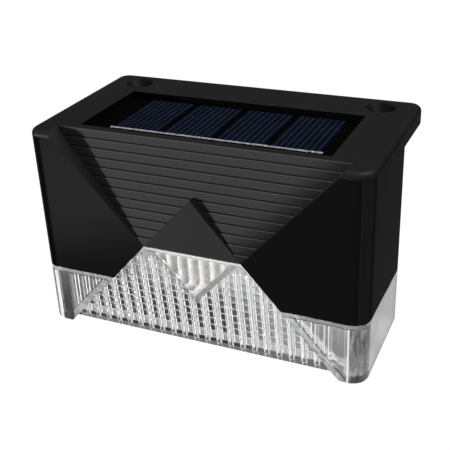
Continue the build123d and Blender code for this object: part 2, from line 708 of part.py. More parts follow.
def panel_plate(shrink, z_low, z_high):
    """A plate that fills the window, smaller by shrink all round."""
    plate = Pos(0, Y_WINDOW_MID) * Rectangle(WINDOW_W - 2 * shrink, WINDOW_DEPTH - 2 * shrink)
    return plan_prism(plate, z_low, z_high)


def cell_left(index):
    """Left side of one cell."""
    return CELL_LEFT - WINDOW_W / 2 + index * (CELL_W + CELL_GAP)


def cell_ranges(index):
    """Ranges of one cell across and in depth."""
    left = cell_left(index)
    y_near = Y_WINDOW_FRONT + CELL_SETBACK
    return (left, left + CELL_W), (y_near, y_near + CELL_DEPTH)


def ribbon_ranges():
    """Ranges of the ribbon, which runs along the front edge of all the cells."""
    left = cell_left(0) - RIBBON_OVERHANG
    right = cell_left(CELL_COUNT - 1) + CELL_W + RIBBON_OVERHANG
    y_near = Y_WINDOW_FRONT + CELL_SETBACK
    return (left, right), (y_near, y_near + RIBBON_W)


def make_cell(index):
    """One of the cells on the panel's board."""
    return block(*cell_ranges(index), (Z_BOARD_TOP, Z_CELL_TOP))


def make_ribbon():
    """The tinned ribbon on the cells."""
    return block(*ribbon_ranges(), (Z_CELL_TOP, Z_CELL_TOP + RIBBON_T))


def make_resin():
    """Clear resin over and between the cells and over the ribbon."""
    covered = [(*cell_ranges(index), Z_CELL_TOP) for index in range(CELL_COUNT)]
    covered.append((*ribbon_ranges(), Z_CELL_TOP + RIBBON_T))
    resin = panel_plate(PANEL_GAP, Z_BOARD_TOP + RESIN_FIT, Z_PANEL)
    for x_range, y_range, top in covered:
        room = [(start - RESIN_FIT, end + RESIN_FIT) for start, end in (x_range, y_range)]
        resin -= block(*room, (Z_BOARD_TOP, top + RESIN_FIT))
    return resin


def make_panel_board():
    """The board under the cells."""
    return panel_plate(PANEL_GAP, Z_TAPE_TOP, Z_BOARD_TOP)


def make_tape():
    """The frame of tape that holds the board in its pocket."""
    opening = panel_plate(PANEL_GAP + TAPE_W, Z_POCKET, Z_TAPE_TOP)
    return panel_plate(PANEL_GAP, Z_POCKET, Z_TAPE_TOP) - opening


# Back cover, its seal and its screws

def cover_outline(shrink):
    """The back cover's outline in the front view, smaller by shrink all round."""
    half = HALF_W - RIM - shrink
    low = Z_COVER_LOW + shrink
    high = Z_CEILING - shrink
    return [(-half, low), (half, low), (half, high), (-half, high)]


def make_cover():
    """The flat back with the button's guide, the board's posts and the battery's saddles."""
    cover = front_prism(cover_outline(COVER_GAP), Y_COVER_IN, Y_WALL)
    posts = [bar_y(x, z, Y_BOARD_REAR, Y_COVER_IN, POST_R) for x, z in POSTS]
    guide = rod_y(BUTTON_X, Z_BUTTON, Y_STEM - BUTTON_TRAVEL, Y_COVER_IN, GUIDE_R + GUIDE_T)
    saddles = []
    for x in saddle_places():
        saddles.append(block((x - SADDLE_T / 2, x + SADDLE_T / 2), (Y_BATTERY, Y_COVER_IN),
                             (Z_BATTERY - SADDLE_HALF_H, Z_BATTERY + SADDLE_HALF_H)))
    cover = cover.fuse(*posts, guide, *saddles)
    cover -= battery_bed(SADDLE_GAP)
    cover -= rod_y(BUTTON_X, Z_BUTTON, Y_COVER_IN - CUT, Y_WALL + CUT, BUTTON_R + BUTTON_GAP)
    cover -= rod_y(BUTTON_X, Z_BUTTON, Y_STEM - BUTTON_TRAVEL - CUT, Y_COVER_IN, GUIDE_R)
    for x, z in COVER_BOSSES:
        cover -= countersunk(x, z, SCREW_GAP, Y_COVER_IN - CUT, Y_WALL + CUT)
    for x, z in POSTS:
        cover -= bar_y(x, z, Y_BOARD_REAR - CUT, Y_BOARD_FRONT + SMALL_SCREW_L, SMALL_SCREW_R + SCREW_GAP)
    return cover


def saddle_places():
    """Places across of the two battery saddles."""
    return (BATTERY_LEFT + SADDLE_INSET, BATTERY_RIGHT - SADDLE_INSET)


def countersunk(x, z, grow, y_tip, y_top):
    """A countersunk screw in the cover, or its hole when grown."""
    radius = SCREW_R + grow
    head = SCREW_HEAD_R + grow
    profile = [(0, y_tip), (radius, y_tip), (radius, Y_WALL - SCREW_HEAD_H), (head, Y_WALL)]
    if y_top > Y_WALL:
        profile.append((head, y_top))
    profile.append((0, y_top))
    return turned_y(x, z, profile)


def make_cover_screws():
    """The four countersunk screws of the back cover, with hexagon sockets."""
    tip = Y_COVER_IN - SCREW_L + SCREW_GAP
    screws = []
    for x, z in COVER_BOSSES:
        socket = bar_y(x, z, Y_WALL - DRIVE_DEPTH, Y_WALL, DRIVE_R, HEX_SIDES)
        screws.append(countersunk(x, z, 0, tip, Y_WALL) - socket)
    return Compound(screws)


def make_seal():
    """The flat gasket between the ledge and the back cover."""
    ring = front_prism(cover_outline(COVER_GAP), Y_LEDGE, Y_COVER_IN)
    return ring - front_prism(cover_outline(LEDGE_W), Y_LEDGE, Y_COVER_IN)


# Push button and switch

def make_button():
    """The push button: a face with a bevelled edge, the collar that keeps it in, and its stem."""
    profile = [(0, Y_PLUNGER), (STEM_R, Y_PLUNGER), (STEM_R, Y_STEM), (COLLAR_R, Y_STEM)]
    profile += [(COLLAR_R, Y_COLLAR), (BUTTON_R, Y_COLLAR), (BUTTON_R, Y_BUTTON_FACE - BUTTON_EDGE)]
    profile += [(BUTTON_R - BUTTON_EDGE, Y_BUTTON_FACE), (0, Y_BUTTON_FACE)]
    return turned_y(BUTTON_X, Z_BUTTON, profile)


def make_button_ring():
    """The flat sealing ring that lies on the collar, against the cover."""
    inner, outer = BUTTON_R + RING_FIT, COLLAR_R - RING_FIT
    near, far = Y_COLLAR, Y_COVER_IN - RING_FIT
    return turned_y(BUTTON_X, Z_BUTTON, [(inner, near), (outer, near), (outer, far), (inner, far)])


def make_plunger():
    """The switch's plunger, which moves with the button."""
    return rod_y(BUTTON_X, Z_BUTTON, PLUNGER_END, Y_PLUNGER, PLUNGER_R)


def make_switch():
    """The body of the tact switch on the driver board."""
    half = SWITCH_W / 2
    body = block((BUTTON_X - half, BUTTON_X + half), (Y_BOARD_REAR, Y_SWITCH),
                 (Z_BUTTON - half, Z_BUTTON + half))
    bottom = Y_SWITCH - PLUNGER_DEPTH
    return body - rod_y(BUTTON_X, Z_BUTTON, bottom, Y_SWITCH + CUT, PLUNGER_R + PLUNGER_GAP)


# Driver board and its components

def make_driver_board():
    """The board of the charger and lamp driver, on two posts of the cover."""
    board = block((BOARD_LEFT, BOARD_RIGHT), (Y_BOARD_FRONT, Y_BOARD_REAR), (Z_BOARD_LOW, Z_BOARD_UP))
    for x, z in POSTS:
        board -= bar_y(x, z, Y_BOARD_FRONT - CUT, Y_BOARD_REAR + CUT, SMALL_SCREW_R + SCREW_GAP)
    return board


def hex_screw_y(x, z):
    """A small screw driven backwards through the driver board."""
    head = bar_y(x, z, Y_BOARD_FRONT - SMALL_HEAD_H, Y_BOARD_FRONT, SMALL_HEAD_R, HEX_SIDES)
    return head + bar_y(x, z, Y_BOARD_FRONT, Y_BOARD_FRONT + SMALL_SCREW_L - SCREW_GAP, SMALL_SCREW_R)


def hex_screw_up(x):
    """A small screw driven up through the lamp board and the tray."""
    head = bar_z(x, Y_LAMP, Z_LAMP - SMALL_HEAD_H, Z_LAMP, SMALL_HEAD_R, HEX_SIDES)
    return head + bar_z(x, Y_LAMP, Z_LAMP, Z_TRAY + SMALL_SCREW_L - SCREW_GAP, SMALL_SCREW_R)


def on_board(place):
    """A place on the front of the driver board, measured from its upper left corner."""
    right, down = place
    return BOARD_LEFT + right, Z_BOARD_UP - down


def make_chip():
    """The control chip with its two rows of legs."""
    x, z = on_board(CHIP_AT)
    chip = block((x - CHIP_W / 2, x + CHIP_W / 2), (Y_BOARD_FRONT - CHIP_T, Y_BOARD_FRONT - LEG_T),
                 (z - CHIP_D / 2, z + CHIP_D / 2))
    legs = []
    for index in range(CHIP_LEGS):
        leg = x + (index - (CHIP_LEGS - 1) / 2) * LEG_PITCH
        legs.append(block((leg - LEG_W / 2, leg + LEG_W / 2), (Y_BOARD_FRONT - 2 * LEG_T, Y_BOARD_FRONT),
                          (z - CHIP_D / 2 - LEG_L, z + CHIP_D / 2 + LEG_L)))
    return chip.fuse(*legs)


def make_coil():
    """The boost coil: a round winding on a square foot."""
    x, z = on_board(COIL_AT)
    y_foot = Y_BOARD_FRONT - COIL_FOOT
    foot = block((x - COIL_R, x + COIL_R), (y_foot, Y_BOARD_FRONT), (z - COIL_R, z + COIL_R))
    return foot + rod_y(x, z, Y_BOARD_FRONT - COIL_H, y_foot, COIL_R)


def make_capacitor():
    """The capacitor's plain can."""
    x, z = BOARD_RIGHT - CAP_INSET, Z_BOARD_UP - CAP_INSET
    return rod_y(x, z, Y_BOARD_FRONT - CAP_H, Y_BOARD_FRONT, CAP_R)


# Battery

def make_battery():
    """One rechargeable AA cell, its contact to the right."""
    body = BATTERY_RIGHT - BATTERY_NUB_H
    profile = [(BATTERY_LEFT, 0), (BATTERY_LEFT, BATTERY_R), (body, BATTERY_R), (body, BATTERY_NUB_R),
               (BATTERY_RIGHT, BATTERY_NUB_R), (BATTERY_RIGHT, 0)]
    outline = make_face(Polyline(*profile, close=True))
    return Pos(0, Y_BATTERY, Z_BATTERY) * revolve(outline, Axis.X)


def battery_bed(gap):
    """The round space that the battery lies in."""
    bed = extrude(Plane.YZ * Circle(BATTERY_R + gap), BATTERY_L)
    return Pos(BATTERY_LEFT, Y_BATTERY, Z_BATTERY) * bed


def make_battery_pad():
    """Foam pad between the battery and the cover."""
    middle = (BATTERY_LEFT + BATTERY_RIGHT) / 2
    pad = block((middle - PAD_L / 2, middle + PAD_L / 2),
                (Y_COVER_IN - BATTERY_LIFT - BATTERY_R / 4, Y_COVER_IN),
                (Z_BATTERY - PAD_W / 2, Z_BATTERY + PAD_W / 2))
    return pad - battery_bed(PAD_GAP)


def make_battery_tabs():
    """Nickel tabs on both ends of the battery."""
    tabs = []
    for start in (BATTERY_LEFT - TAB_T, BATTERY_RIGHT):
        tabs.append(block((start, start + TAB_T), (Y_BATTERY - TAB_L / 2, Y_BATTERY + TAB_L / 2),
                          (Z_BATTERY - TAB_W / 2, Z_BATTERY + TAB_W / 2)))
    return Compound(tabs)


# Lamp

def tray_outline(inset):
    """The tray's side view, with its curved back moved forward by inset."""
    rear = Y_FRONT + TRAY_REAR - inset
    bulge = Y_FRONT + TRAY_BULGE - inset
    toe = Y_FRONT + TRAY_TOE - inset
    front = Y_FRONT + TRAY_FRONT
    z_low = bottom_z(toe) + WALL + TRAY_FLOOR_GAP
    back = ThreePointArc((rear, Z_TRAY), (bulge, Z_TOP - TRAY_BULGE_DROP), (toe, z_low))
    rest = Polyline((toe, z_low), (front, z_low), (front, Z_TRAY), (rear, Z_TRAY))
    return make_face(back + rest)


def tray_body(inset):
    """The tray filled up, narrower above its shoulders; inset gives the hollow inside it."""
    wide = TRAY_HALF_W - inset
    neck = TRAY_NECK_HALF_W - inset
    shoulder = Z_TOP - TRAY_SHOULDER_DROP - inset
    body = side_prism(tray_outline(inset), -wide, wide)
    for side in (-1, 1):
        body -= block(sorted((side * neck, side * HALF_W)), (Y_FRONT, Y_WALL), (shoulder, Z_TRAY + CUT))
    return body - block((-wide, wide), (Y_FRONT, Y_WALL), (Z_TRAY - inset, Z_TRAY + CUT))


def make_tray():
    """The tray: a roof, a curved back and two cheeks, open to the front."""
    tray = tray_body(0) - tray_body(TRAY_T)
    low, high = Z_LAMP_BOARD - CUT, Z_TRAY + CUT
    for side in (-1, 1):
        tray -= bar_z(side * TRAY_BOSS_X, Y_LAMP, low, high, SMALL_SCREW_R + SCREW_GAP)
    for x in lead_places(LAMP_LEAD_X):
        tray -= bar_z(x, Y_LAMP, low, high, LEAD_R + SCREW_GAP, LEAD_SIDES)
    return tray


def make_lamp_board():
    """The strip board under the tray's roof."""
    half_w, half_d = LAMP_BOARD_W / 2, LAMP_BOARD_D / 2
    board = block((-half_w, half_w), (Y_LAMP - half_d, Y_LAMP + half_d), (Z_LAMP, Z_LAMP_BOARD))
    low, high = Z_LAMP - CUT, Z_LAMP_BOARD + CUT
    for side in (-1, 1):
        board -= bar_z(side * TRAY_BOSS_X, Y_LAMP, low, high, SMALL_SCREW_R + SCREW_GAP)
    return board


def make_lamp(index):
    """One lamp: a flat package with its raised phosphor window."""
    x = (index - (LAMP_COUNT - 1) / 2) * LAMP_PITCH
    base = Z_LAMP - LAMP_T
    half = LAMP_WINDOW / 2
    package = block((x - LAMP_W / 2, x + LAMP_W / 2), (Y_LAMP - LAMP_D / 2, Y_LAMP + LAMP_D / 2),
                    (base, Z_LAMP))
    window = block((x - half, x + half), (Y_LAMP - half, Y_LAMP + half), (base - LAMP_RAISE, base))
    return package + window


# Leads, in pairs

def lead_places(x):
    """Places across of the two leads of a pair."""
    return (x - LEAD_PITCH / 2, x + LEAD_PITCH / 2)


def lead(points):
    """A lead along straight runs joined by arcs, with a plain six-sided section."""
    path = FilletPolyline(*points, radius=LEAD_BEND_R)
    start = Plane(origin=points[0], z_dir=Vector(points[1]) - Vector(points[0]))
    return sweep(start * RegularPolygon(LEAD_R, LEAD_SIDES), path)


def make_panel_leads():
    """From the panel down to the driver board."""
    z = Z_BOARD_UP - PANEL_LEAD_DROP
    return Compound([lead([(x, Y_PANEL_LEAD, Z_TAPE_TOP), (x, Y_PANEL_LEAD, z), (x, Y_BOARD_FRONT, z)])
                     for x in lead_places(PANEL_LEAD_X)])


def make_lamp_leads():
    """From the lamp board up to the driver board."""
    z = Z_BOARD_UP - LAMP_LEAD_DROP
    return Compound([lead([(x, Y_LAMP, Z_LAMP_BOARD), (x, Y_LAMP, z), (x, Y_BOARD_FRONT, z)])
                     for x in lead_places(LAMP_LEAD_X)])


def make_battery_leads():
    """From both ends of the battery to the driver board, the long one under the battery."""
    near, far = lead_places(BATTERY_LEAD_X)
    y = Y_BATTERY - TAB_L / 2 + LEAD_R
    left = BATTERY_LEFT - TAB_T
    right = BATTERY_RIGHT + TAB_T
    out = right + BATTERY_LEAD_OUT
    low = Z_BATTERY - BATTERY_LEAD_DIP
    short = lead([(left, y, Z_BATTERY), (far, y, Z_BATTERY), (far, Y_BOARD_FRONT, Z_BATTERY)])
    long = lead([(right, y, Z_BATTERY), (out, y, Z_BATTERY), (out, y, low), (near, y, low),
                 (near, Y_BOARD_FRONT, low)])
    return Compound([short, long])


# All pieces

def main():
    """Builds every piece and writes it to the parts folder."""
    os.makedirs("parts", exist_ok=True)
    body = shell()
    pieces = {
        "housing": make_housing(body),
        "lens": make_lens(body),
        "back_cover": make_cover(),
        "cover_seal": make_seal(),
        "cover_screws": make_cover_screws(),
        "panel_board": make_panel_board(),
        "panel_tape": make_tape(),
        "cell_ribbon": make_ribbon(),
        "panel_resin": make_resin(),
        "button": make_button(),
        "button_ring": make_button_ring(),
        "switch_plunger": make_plunger(),
        "switch_body": make_switch(),
        "driver_board": make_driver_board(),
        "driver_screws": Compound([hex_screw_y(x, z) for x, z in POSTS]),
        "control_chip": make_chip(),
        "boost_coil": make_coil(),
        "capacitor": make_capacitor(),
        "battery": make_battery(),
        "battery_pad": make_battery_pad(),
        "battery_tabs": make_battery_tabs(),
        "reflector_tray": make_tray(),
        "lamp_board": make_lamp_board(),
        "tray_screws": Compound([hex_screw_up(side * TRAY_BOSS_X) for side in (-1, 1)]),
        "panel_leads": make_panel_leads(),
        "lamp_leads": make_lamp_leads(),
        "battery_leads": make_battery_leads(),
    }
    for index in range(CELL_COUNT):
        pieces[f"solar_cell_{index + 1}"] = make_cell(index)
    for index in range(LAMP_COUNT):
        pieces[f"lamp_{index + 1}"] = make_lamp(index)
    for name, piece in pieces.items():
        export_step(piece, f"parts/{name}.step")


main()
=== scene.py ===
"""Dresses the solar wall light: a finish for every piece, a pale studio and the camera.

Metres, in the frame of the solids: +X to the viewer's right, +Y back towards the wall, +Z up.
"""
import json
from math import pi, radians

import bpy
from mathutils import Matrix, Vector


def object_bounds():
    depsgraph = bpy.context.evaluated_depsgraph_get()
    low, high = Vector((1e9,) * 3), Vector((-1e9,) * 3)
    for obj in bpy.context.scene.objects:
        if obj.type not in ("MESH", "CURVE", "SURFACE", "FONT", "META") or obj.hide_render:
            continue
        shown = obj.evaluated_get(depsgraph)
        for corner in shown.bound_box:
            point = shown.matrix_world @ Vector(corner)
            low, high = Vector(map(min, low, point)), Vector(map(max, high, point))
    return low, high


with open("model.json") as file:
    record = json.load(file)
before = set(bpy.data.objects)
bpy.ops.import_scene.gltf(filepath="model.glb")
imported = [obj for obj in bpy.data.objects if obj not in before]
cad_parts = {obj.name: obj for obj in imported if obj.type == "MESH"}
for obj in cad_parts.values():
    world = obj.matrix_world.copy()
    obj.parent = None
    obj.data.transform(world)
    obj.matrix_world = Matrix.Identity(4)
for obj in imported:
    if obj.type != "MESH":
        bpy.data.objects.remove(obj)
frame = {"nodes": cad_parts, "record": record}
cad_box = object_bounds()
nodes = frame["nodes"]

MM = 0.001


def grey(level, blue=None):
    """A neutral colour, or a slightly cold one where its blue is given."""
    return (level, level, blue or level, 1)


# Camera, as fitted to the photograph
CAMERA_AT = Vector((115.77, -274.99, 105.80)) * MM
CAMERA_YAW = radians(25.25)
CAMERA_PITCH = radians(-27.07)
CAMERA_ROLL = radians(-2.64)
CAMERA_LENS = 68.31          # mm on a 36 mm sensor
CAMERA_NEAR = 0.01

# Studio
KEY_TOWARDS = Vector((-0.80, -0.60, 0.08))
KEY_DISTANCE = 1.5
KEY_SIZE = (0.08, 0.08)
KEY_POWER = 24.0
BOX_TOWARDS = Vector((-0.552, -0.760, -0.342))
BOX_DISTANCE = 0.7
BOX_SIZE = (0.20, 0.135)
BOX_POWER = 0.38
BACK_TOWARDS = Vector((-0.10, 1.0, 0.12))
BACK_DISTANCE = 1.5
BACK_SIZE = (1.6, 1.6)
BACK_POWER = 6.0
SKY_TOWARDS = Vector((0.30, 0.20, 0.90))
SKY_STRENGTH = 4.0
SKY_ANGLE = radians(50)
AMBIENT = grey(0.04)
WHITE = grey(1.0)
FLOOR_DROP = 0.5             # below the bottom of the light
FLOOR_SIZE = 40.0
FLOOR_COLOUR = grey(0.12)
FLOOR_GLOW = 0.88            # what the lit floor lacks to white

NOISE_LOW, NOISE_HIGH = 0.3, 0.7     # where most values of a noise lie

# Both ramps
WAIST_Z = -30.8 * MM         # where the ramps meet
WAIST_HALF_W = 17.8 * MM

# Housing: where its slats, its window and its screw holes lie
FRONT_NORMAL = -0.9          # y of the normals of its front
LEANING_NORMAL = 0.03        # z of the normals of what leans back there
SLAT_NORMAL = 0.085          # and of the slats, which lean most
SLAT_PITCH = 37.0 * MM / 12
SLAT_SLOPE = 34.2 / 37.0     # the slats widen by this upwards
SLAT_SHADE_FADE = (0.5 * MM, 11 * MM)      # painted shade, from the slats' right ends to their full colour
GROOVE_SHADE_TOP, EDGE_HIGHLIGHT_LOW = 0.13, 0.86    # in pitches: a painted shade line just above each ledge and a painted highlight line just below it
INNER_X = 57.0 * MM          # all that faces sideways within this is a wall of the window
HOLE_X, HOLE_Y = 40.0 * MM, 6.0 * MM

# Housing: its colours, one black with painted shade, sheen and highlights
BLACK_DARK, BLACK_LIGHT = grey(0.0160, 0.0163), grey(0.0185, 0.0189)
# painted shade: the front facets darker than the rest of the same black
FACET_SHADE_COLOUR = grey(0.0060, 0.0062)
# painted sheen: the leaning triangle paler than the rest of the same black
LEANING_SHEEN_COLOUR = grey(0.036, 0.0365)
# painted sheen: the slats paler than the rest of the same black, with painted shade towards their right ends
SLAT_SHADE, SLAT_SHEEN = grey(0.016, 0.0165), grey(0.052, 0.053)
# painted shade line in each groove and painted highlight line along each ledge edge
GROOVE_SHADE_COLOUR = grey(0.017, 0.0175)
EDGE_HIGHLIGHT_COLOUR = grey(0.105, 0.107)
EDGE_HIGHLIGHT_SHARE = 0.4             # of the painted highlight colour over the slat's own
# painted shade in the window's walls and the screw holes, lighter where they face up
RECESS_SHADE_DARK, RECESS_SHADE_LIGHT = grey(0.0035, 0.0036), grey(0.0085, 0.0087)

# Lens: where its surfaces lie
MOUTH_SLOPE = 34.2 / 38.0    # the mouth of the ramp widens by this from the waist down
FIELD_SLOPE = 17.8 / 19.3    # the half diamond narrows by this
FIELD_REACH = 15.2 * MM
FIELD_DROP = 1.2 * MM
JOINT_DROP = 15.05 * MM      # waist to the joint with the housing on the feet and the sides
SILL_DROP = 35.9 * MM
BOTTOM_DROP = 33.9 * MM      # all that faces up or down below this is at the bottom
RIB_PITCH = 4.48 * MM
RIB_HALF_W = 1.05 * MM
RIB_START = 4.0 * MM
RIB_LEFT, RIB_RIGHT = -0.09, 0.14    # where a rib's edges start, in pitches from its middle
TOP_LIP_H = 0.9 * MM         # edge of the ramp along the waist
MOUTH_LIP_W = 0.8 * MM       # edge of the ramp along the housing
FOOT_Y = -56.7 * MM
FOOT_LINES_X = 49.5 * MM
FOOT_LINE = 0.16             # from the middle of a foot's rib to its painted highlight lines, in pitches
FOOT_LINE_HALF_W = 0.05
BAND_W = 3.0 * MM            # edge of the wall beside the ramp, seen from the front
BAND_LINE_W = 0.5 * MM
# a painted highlight line beside the right post
POST_LINE_X = 53.9 * MM
COLUMN_X = 54.6 * MM
LEFT_COLUMN_X = 50.4 * MM
# a painted highlight line on the left corner
LEFT_LINE_X, LEFT_LINE_W = 55.0 * MM, 1.7 * MM
SIDE_X = 59.4 * MM
SIDE_END_Y = -20.6 * MM
SIDE_END_DROP = 36.9 * MM
LIP_H, LIP_LINE_H = 1.3 * MM, 0.35 * MM

# Lens: its colours, painted to stand for its inner reflections, with painted highlights and painted shade, its
# haze and how silvery its edges are
LENS_TINT = (0.76, 0.765, 0.77, 1)
LENS_IOR = 1.49
# painted highlights: the pale lines on the rib edges, the ramp's edges, the feet and the corners
HIGHLIGHT_PALE = grey(0.92)
RIB_SILVER, FOOT_SILVER = 0.6, 0.35  # the rib edges throw the room back, like any prism
HAZE_TOP, HAZE_TOP_H = 0.45, 18 * MM
HAZE_RIGHT, HAZE_FROM, HAZE_TO = 0.25, 10 * MM, 30 * MM
FIELD_MILK = 0.65
# painted light on the flutes' left-facing sides and painted shade on their right-facing ones
FIELD_LIT, FIELD_SHADED = (0.95, 0.94, 0.91, 1), (0.68, 0.67, 0.65, 1)
FRAME_COLOUR = grey(0.58, 0.585)
BAND_COLOUR = grey(0.72, 0.725)
PANEL_COLOUR = (0.93, 0.935, 0.94, 1)
# painted shade: the left foot darker than the right one, which is the same plastic
LEFT_PANEL_SHADE = (0.48, 0.485, 0.49, 1)
LIP_COLOUR = grey(0.52, 0.525)
SHADE_COLOUR = grey(0.15, 0.155)
COLUMN_DARK, COLUMN_LIGHT = grey(0.26, 0.265), grey(0.90, 0.905)
# painted shade: the left corner darker than the right one
LEFT_SHADE_DARK, LEFT_SHADE_LIGHT = grey(0.03, 0.031), grey(0.13, 0.132)
SIDE_DARK, SIDE_LIGHT = (0.27, 0.273, 0.277, 1), (0.62, 0.625, 0.63, 1)
SILL_COLOUR = grey(0.46, 0.465)
BOTTOM_COLOUR = grey(0.42, 0.425)

# Solar cells
FINGERS = 8                  # printed lines on each cell
FINGER_HALF_W = 0.032        # in pitches
FINGER_COLOUR = (0.048, 0.051, 0.064, 1)
CRYSTAL_SIZE = 4 * MM
CRYSTAL_DARK, CRYSTAL_LIGHT = (0.0022, 0.0037, 0.0080, 1), (0.0034, 0.0060, 0.0130, 1)
RESIN_TINT = (0.98, 0.98, 0.99, 1)

# Tray: one grey painted with shade and light, its grey levels, and where they lie from its low left end to its
# roof's right end
TRAY_SHADED, TRAY_LIT = 0.012, 0.9
TRAY_SHADE_FADE = (0.36, 0.9)
TRAY_RIGHT, TRAY_UP = 0.35, 0.9

# Plain finishes: colour, roughness, grain and relief in mm, and the spread of an uneven colour
MOULDED = {
    "seal_rubber": ((0.02, 0.02, 0.02), 0.7, 0.3, 0.02),
    "adhesive_tape": ((0.7, 0.7, 0.66), 0.8, 0.5, 0.03),
    "white_board": ((0.8, 0.8, 0.78), 0.35, 0.5, 0.004, 0.03),
    "lamp_chip": ((0.85, 0.72, 0.25), 0.4, 0.3, 0.01),
    "green_board": ((0.02, 0.16, 0.07), 0.35, 0.5, 0.01),
    "black_chip": ((0.02, 0.02, 0.021), 0.6, 0.2, 0.01),
    "battery_sleeve": ((0.06, 0.25, 0.14), 0.35, 0.6, 0.01),
    "lead_sleeve": ((0.35, 0.02, 0.02), 0.5, 0.4, 0.01),
    "button_rubber": ((0.022, 0.022, 0.023), 0.65, 0.25, 0.02),
    "switch_plastic": ((0.03, 0.03, 0.031), 0.5, 0.3, 0.008),
}
LAMINATE = ((0.0016, 0.0016, 0.0018), 0.5, 0.3, 0.005)
METALS = {
    "zinc_screw": ((0.36, 0.36, 0.37), 0.32, 0.4, 0.004),
    "tinned_ribbon": ((0.11, 0.11, 0.115), 0.35, 1.5, 0.12, 0.95),
    "copper_coil": ((0.6, 0.3, 0.16), 0.35, 0.4, 0.02),
    "capacitor_can": ((0.62, 0.62, 0.64), 0.3, 0.3, 0.004),
    "nickel_tab": ((0.66, 0.63, 0.58), 0.35, 0.3, 0.006),
}


class Finish:
    """A material under construction: short calls that add, set and link its nodes.

    Where a call takes a value, it takes a number, a colour or the output of another node.
    """

    def __init__(self, name, **settings):
        self.material = bpy.data.materials.new(name)
        self.material.use_nodes = True
        self.tree = self.material.node_tree
        self.shader = self.tree.nodes["Principled BSDF"]
        self.output = self.tree.nodes["Material Output"]
        self.set(self.shader, **settings)

    def feed(self, socket, value):
        """Links an output to a socket, or sets the socket's value."""
        if isinstance(value, bpy.types.NodeSocket):
            self.tree.links.new(value, socket)
        else:
            socket.default_value = value

    def set(self, node, **settings):
        """Feeds sockets by name, with _ for a space in the name."""
        for name, value in settings.items():
            self.feed(node.inputs[name.replace("_", " ")], value)

    def add(self, kind, output=0, props=None, **settings):
        """A new node; returns one of its outputs."""
        node = self.tree.nodes.new("ShaderNode" + kind)
        for name, value in (props or {}).items():
            setattr(node, name, value)
        self.set(node, **settings)
        return node.outputs[output]

    def place(self, kind="Object"):
        """Coordinates over the piece: Object is the row frame in metres, Generated runs 0 to 1 in its box."""
        return self.add("TexCoord", kind)

    def parts(self, vector):
        """The x, y and z of a vector."""
        return self.add("SeparateXYZ", Vector=vector).node.outputs

    def noise(self, size, detail=3.0, where=None):
        """Noise with grains of about the given size in metres."""
        return self.add("TexNoise", "Fac", Vector=where or self.place(), Scale=1 / size, Detail=detail)

    def ramp(self, fac, low, high, start=0.0, end=1.0):
        """A colour or a grey level that goes from low to high as fac goes from start to end."""
        output = self.add("ValToRGB", "Color", Fac=fac)
        for element, place, value in zip(output.node.color_ramp.elements, (start, end), (low, high)):
            element.position = place
            element.color = value if hasattr(value, "__len__") else grey(value)
        return output

    def vary(self, noise, low, high):
        """A colour or a grey level that goes from low to high with a noise."""
        return self.ramp(noise, low, high, NOISE_LOW, NOISE_HIGH)

    def math(self, operation, first, second=0.0):
        """The result of a sum on one or two values."""
        node = self.tree.nodes.new("ShaderNodeMath")
        node.operation = operation
        for socket, value in zip(node.inputs, (first, second)):
            self.feed(socket, value)
        return node.outputs[0]

    def blend(self, fac, first, second):
        """One colour or the other, by a factor."""
        node = self.add("Mix", 2, props={"data_type": "RGBA"}).node
        for index, value in ((0, fac), (6, first), (7, second)):
            self.feed(node.inputs[index], value)
        return node.outputs[2]

    def over(self, value, limit):
        """A mask, 1 where the value is over the limit."""
        return self.math("GREATER_THAN", value, limit)

    def under(self, value, limit):
        """A mask, 1 where the value is under the limit."""
        return self.math("LESS_THAN", value, limit)

    def both(self, first, *others):
        """The mask of what lies in all the masks."""
        for mask in others:
            first = self.math("MULTIPLY", first, mask)
        return first

    def either(self, first, *others):
        """The mask of what lies in any of the masks."""
        for mask in others:
            first = self.math("MAXIMUM", first, mask)
        return first

    def bump(self, height, distance):
        """Relief of the given depth in metres."""
        self.set(self.shader, Normal=self.add("Bump", Height=height, Distance=distance, Strength=1.0))


def shade(colour, by):
    """A colour made lighter or darker."""
    return tuple(part * by for part in colour[:3]) + (1,)


def moulded(name, colour, roughness, grain, relief, spread=0.08, **settings):
    """Moulded plastic, rubber or lacquer: fine grain in mm, slightly uneven colour and gloss."""
    finish = Finish(name, **settings)
    fine = finish.noise(grain * MM)
    broad = finish.noise(40 * grain * MM, 2.0)
    finish.set(finish.shader, Base_Color=finish.vary(broad, shade(colour, 1 - spread), shade(colour, 1 + spread)),
               Roughness=finish.vary(broad, roughness - 0.04, roughness + 0.04))
    finish.bump(fine, relief * MM)
    return finish.material


def metal(name, colour, roughness, grain, relief, spread=0.1):
    """Plated or drawn metal with fine scratches, their grain in mm."""
    finish = Finish(name, Metallic=1.0)
    fine = finish.noise(grain * MM, 5.0)
    finish.set(finish.shader, Base_Color=finish.vary(fine, shade(colour, 1 - spread), shade(colour, 1 + spread)),
               Roughness=finish.vary(fine, roughness - 0.08, roughness + 0.08))
    finish.bump(fine, relief * MM)
    return finish.material


